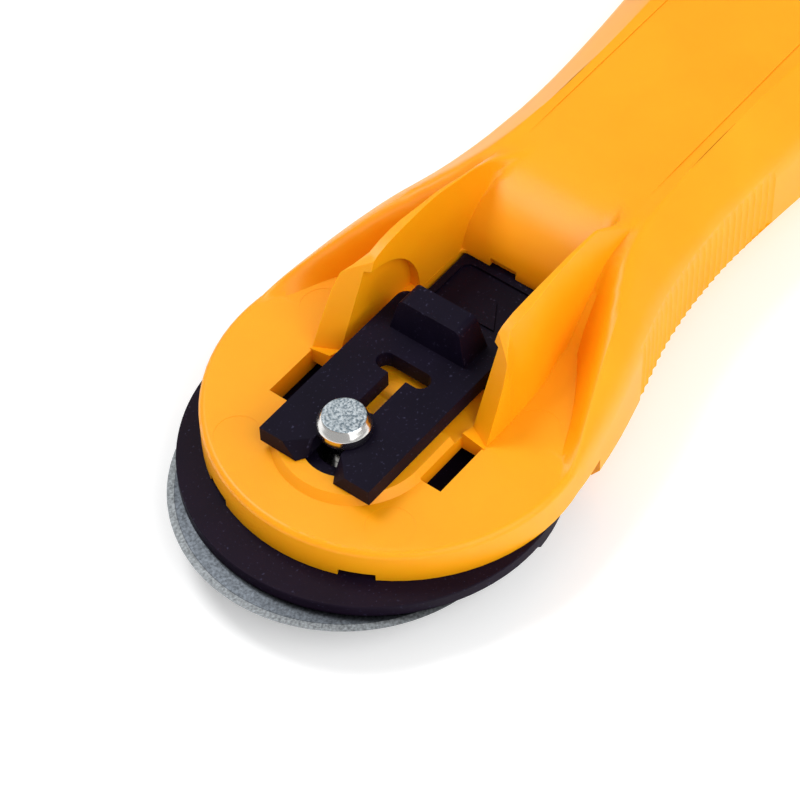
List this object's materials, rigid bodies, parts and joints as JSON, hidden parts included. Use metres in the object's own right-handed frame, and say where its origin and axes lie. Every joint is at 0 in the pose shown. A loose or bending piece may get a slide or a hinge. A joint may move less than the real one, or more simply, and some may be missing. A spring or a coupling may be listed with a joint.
{
  "type": "rotary cutter",
  "caption": "Straight-handled rotary cutter with a round blade, sliding blade guard, quick-change pivot pin and a lock slide in a thumb channel on the back.",
  "frame": {"origin": "on the blade's axis, in the outer face of the pin knob, the plane that the tool lies on", "axes": "+X along the handle towards the hanging hole, +Z out of the back of the tool along the pivot pin, +Y across"},
  "size_m": [0.1785, 0.0496, 0.0256],
  "materials": {
    "amber_plastic": "moulded amber yellow, soft gloss",
    "black_plastic": "fine grained black moulding",
    "blade_steel": "rolled blade steel with a ground edge",
    "plated_steel": "bright zinc plating, sand textured top",
    "spring_steel": "plain spring strip"
  },
  "bodies": {
    "handle": {"handle_body": "amber_plastic", "front_cover": "amber_plastic", "click_spring": "spring_steel", "hub_bush": "black_plastic"},
    "guard": {"blade_guard": "black_plastic", "thumb_slider": "black_plastic"},
    "blade": {"blade": "blade_steel"},
    "pin_unit": {"pivot_pin": "plated_steel", "pin_knob": "black_plastic", "spring_washer": "spring_steel"},
    "lock": {"lock_slide": "black_plastic"}
  },
  "joints": [
    {"name": "guard_slide", "type": "slide", "parent": "handle", "child": "guard", "axis": [-1, 0, 0], "range_m": [0, 0.0054]},
    {"name": "blade_spin", "type": "hinge", "parent": "handle", "child": "blade", "pos_m": [0, 0, 0.006], "axis": [0, 0, 1], "continuous": true},
    {"name": "pin_turn", "type": "hinge", "parent": "handle", "child": "pin_unit", "pos_m": [0, 0, 0.006], "axis": [0, 0, 1], "continuous": true},
    {"name": "lock_release", "type": "slide", "parent": "handle", "child": "lock", "axis": [1, 0, 0], "range_m": [0, 0.009]}
  ]
}
